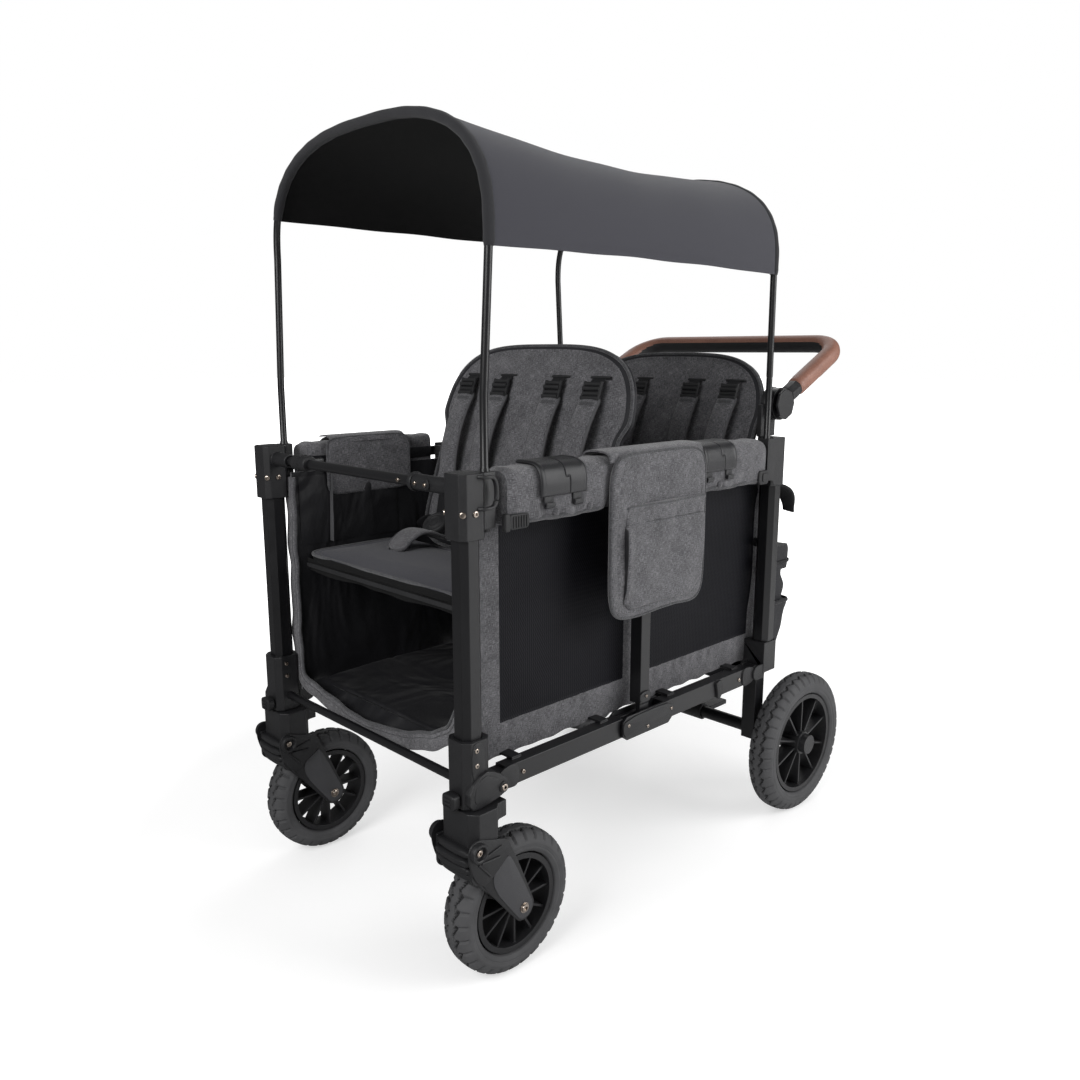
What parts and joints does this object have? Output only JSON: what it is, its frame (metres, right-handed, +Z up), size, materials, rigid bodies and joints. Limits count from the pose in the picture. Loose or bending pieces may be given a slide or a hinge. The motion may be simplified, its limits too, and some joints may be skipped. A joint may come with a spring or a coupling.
{
  "type": "stroller wagon",
  "caption": "Folding stroller wagon with two bench seats, a hooped canopy, swivel casters in front and a wrapped push handle.",
  "frame": {"origin": "on the floor under the middle of the bounding box", "axes": "+Z up, -Y towards the front casters, +X towards the wagon's left side"},
  "size_m": [0.661, 1.0874, 1.2883],
  "materials": {
    "frame": "satin black powder coat",
    "moulding": "matte black",
    "alloy": "satin black",
    "steel": "nickel",
    "tyre": "matte",
    "grey_cloth": "heather grey weave",
    "black_cloth": "black mesh and weave",
    "canopy_cloth": "charcoal weave",
    "board": "matte black",
    "grip": "brown stitched wrap"
  },
  "bodies": {
    "rear_frame": {"rear_posts": "frame", "rear_caps": "moulding", "rear_brackets": "moulding", "rear_legs": "frame", "rear_axles": "steel", "rear_bars": "frame", "rear_seat_bar": "frame", "rear_backrest": "grey_cloth", "rear_harness": "black_cloth", "tub": "black_cloth", "rear_bag": "black_cloth", "handle_uprights": "moulding"},
    "rear_lower": {"lower_rear_rails": "frame", "hinge_plates": "frame", "rear_floor": "board"},
    "centre": {"centre_posts": "frame", "front_seat_bar": "frame", "front_backrest": "grey_cloth", "front_harness": "black_cloth", "side_pocket": "grey_cloth"},
    "front_lower": {"lower_front_rails": "frame", "front_floor": "board"},
    "front_frame": {"front_posts": "frame", "front_caps": "moulding", "front_brackets": "moulding", "front_bars": "frame", "front_screws": "steel"},
    "rear_upper": {"upper_rear_rails": "frame", "rear_rail_pads": "grey_cloth", "rear_rail_clips": "moulding"},
    "front_upper": {"upper_front_rails": "frame", "front_rail_pads": "grey_cloth", "front_rail_clips": "moulding"},
    "front_bench": {"front_bench": "grey_cloth"},
    "rear_bench": {"rear_bench": "grey_cloth"},
    "handle": {"handle_tube": "alloy", "handle_grip": "grip"},
    "brake": {"brake_pedal": "moulding"},
    "rear_canopy": {"rear_hoop": "alloy", "canopy": "canopy_cloth"},
    "front_canopy": {"front_hoop": "alloy"},
    "hub_button_left": {"hub_button_left": "moulding"},
    "caster_left": {"caster_housing_left": "moulding"},
    "fork_left": {"caster_fork_left": "moulding", "front_axle_left": "steel"},
    "front_wheel_left": {"front_rim_left": "moulding", "front_tyre_left": "tyre"},
    "swivel_lock_left": {"swivel_lock_left": "moulding"},
    "rear_wheel_left": {"rear_rim_left": "moulding", "rear_tyre_left": "tyre"},
    "hub_button_right": {"hub_button_right": "moulding"},
    "caster_right": {"caster_housing_right": "moulding"},
    "fork_right": {"caster_fork_right": "moulding", "front_axle_right": "steel"},
    "front_wheel_right": {"front_rim_right": "moulding", "front_tyre_right": "tyre"},
    "swivel_lock_right": {"swivel_lock_right": "moulding"},
    "rear_wheel_right": {"rear_rim_right": "moulding", "rear_tyre_right": "tyre"}
  },
  "joints": [
    {"name": "frame_fold", "type": "hinge", "parent": "rear_frame", "child": "rear_lower", "pos_m": [0, 0.22626, 0.322], "axis": [-1, 0, 0], "range_deg": [0, 58], "deforming": ["tub", "side_pocket", "front_rail_pads", "rear_rail_pads", "canopy"]},
    {"name": "centre_level", "type": "hinge", "parent": "rear_lower", "child": "centre", "pos_m": [0, -0.11874, 0.322], "axis": [-1, 0, 0], "range_deg": [-58, 0]},
    {"name": "centre_fold", "type": "hinge", "parent": "rear_lower", "child": "front_lower", "pos_m": [0, -0.11874, 0.322], "axis": [-1, 0, 0], "range_deg": [-116, 0]},
    {"name": "front_level", "type": "hinge", "parent": "front_lower", "child": "front_frame", "pos_m": [0, -0.46374, 0.322], "axis": [-1, 0, 0], "range_deg": [0, 58]},
    {"name": "rear_rail_fold", "type": "hinge", "parent": "rear_frame", "child": "rear_upper", "pos_m": [0, 0.22626, 0.752], "axis": [-1, 0, 0], "range_deg": [0, 58]},
    {"name": "front_rail_fold", "type": "hinge", "parent": "front_frame", "child": "front_upper", "pos_m": [0, -0.46374, 0.752], "axis": [-1, 0, 0], "range_deg": [-58, 0]},
    {"name": "front_bench_flip", "type": "hinge", "parent": "centre", "child": "front_bench", "pos_m": [0, -0.25174, 0.575], "axis": [-1, 0, 0], "range_deg": [0, 80]},
    {"name": "rear_bench_flip", "type": "hinge", "parent": "rear_frame", "child": "rear_bench", "pos_m": [0, 0.15326, 0.575], "axis": [-1, 0, 0], "range_deg": [0, 80]},
    {"name": "handle_tilt", "type": "hinge", "parent": "rear_frame", "child": "handle", "pos_m": [0, 0.29026, 0.847], "axis": [1, 0, 0], "range_deg": [-75, 40]},
    {"name": "hub_button_left", "type": "slide", "parent": "handle", "child": "hub_button_left", "axis": [-1, 0, 0], "range_m": [0, 0.004], "stiffness_N_per_m": 400, "springref_m": -0.005},
    {"name": "caster_swivel_left", "type": "hinge", "parent": "front_frame", "child": "caster_left", "pos_m": [0.265, -0.50374, 0.3], "axis": [0, 0, 1], "continuous": true},
    {"name": "fork_spring_left", "type": "hinge", "parent": "caster_left", "child": "fork_left", "pos_m": [0.265, -0.52074, 0.206], "axis": [1, 0, 0], "range_deg": [0, 5], "stiffness_Nm_per_rad": 80, "springref_deg": -14.32},
    {"name": "front_wheel_left", "type": "hinge", "parent": "fork_left", "child": "front_wheel_left", "pos_m": [0.265, -0.42974, 0.114], "axis": [1, 0, 0], "continuous": true},
    {"name": "swivel_lock_left", "type": "slide", "parent": "front_frame", "child": "swivel_lock_left", "axis": [0, 0, -1], "range_m": [0, 0.005]},
    {"name": "rear_wheel_left", "type": "hinge", "parent": "rear_frame", "child": "rear_wheel_left", "pos_m": [0.296, 0.35926, 0.145], "axis": [1, 0, 0], "continuous": true},
    {"name": "hub_button_right", "type": "slide", "parent": "handle", "child": "hub_button_right", "axis": [1, 0, 0], "range_m": [0, 0.004], "stiffness_N_per_m": 400, "springref_m": -0.005},
    {"name": "caster_swivel_right", "type": "hinge", "parent": "front_frame", "child": "caster_right", "pos_m": [-0.265, -0.50374, 0.3], "axis": [0, 0, 1], "continuous": true},
    {"name": "fork_spring_right", "type": "hinge", "parent": "caster_right", "child": "fork_right", "pos_m": [-0.265, -0.52074, 0.206], "axis": [1, 0, 0], "range_deg": [0, 5], "stiffness_Nm_per_rad": 80, "springref_deg": -14.32},
    {"name": "front_wheel_right", "type": "hinge", "parent": "fork_right", "child": "front_wheel_right", "pos_m": [-0.265, -0.42974, 0.114], "axis": [1, 0, 0], "continuous": true},
    {"name": "swivel_lock_right", "type": "slide", "parent": "front_frame", "child": "swivel_lock_right", "axis": [0, 0, -1], "range_m": [0, 0.005]},
    {"name": "rear_wheel_right", "type": "hinge", "parent": "rear_frame", "child": "rear_wheel_right", "pos_m": [-0.296, 0.35926, 0.145], "axis": [1, 0, 0], "continuous": true},
    {"name": "brake_press", "type": "hinge", "parent": "rear_frame", "child": "brake", "pos_m": [0.095, 0.26626, 0.187], "axis": [-1, 0, 0], "range_deg": [0, 20]},
    {"name": "canopy_lift", "type": "slide", "parent": "rear_frame", "child": "rear_canopy", "axis": [0, 0, 1], "range_m": [-0.1, 0]},
    {"name": "canopy_lift_front", "type": "slide", "parent": "front_frame", "child": "front_canopy", "axis": [0, 0, 1], "range_m": [-0.1, 0]}
  ],
  "couplings": [
    {"joint": "centre_level", "follows": "frame_fold", "ratio": -1},
    {"joint": "centre_fold", "follows": "frame_fold", "ratio": -2},
    {"joint": "front_level", "follows": "frame_fold", "ratio": 1},
    {"joint": "rear_rail_fold", "follows": "frame_fold", "ratio": 1},
    {"joint": "front_rail_fold", "follows": "frame_fold", "ratio": -1},
    {"joint": "front_bench_flip", "follows": "frame_fold", "ratio": 1.37},
    {"joint": "rear_bench_flip", "follows": "frame_fold", "ratio": 1.37},
    {"joint": "canopy_lift_front", "follows": "canopy_lift", "ratio": 1}
  ]
}
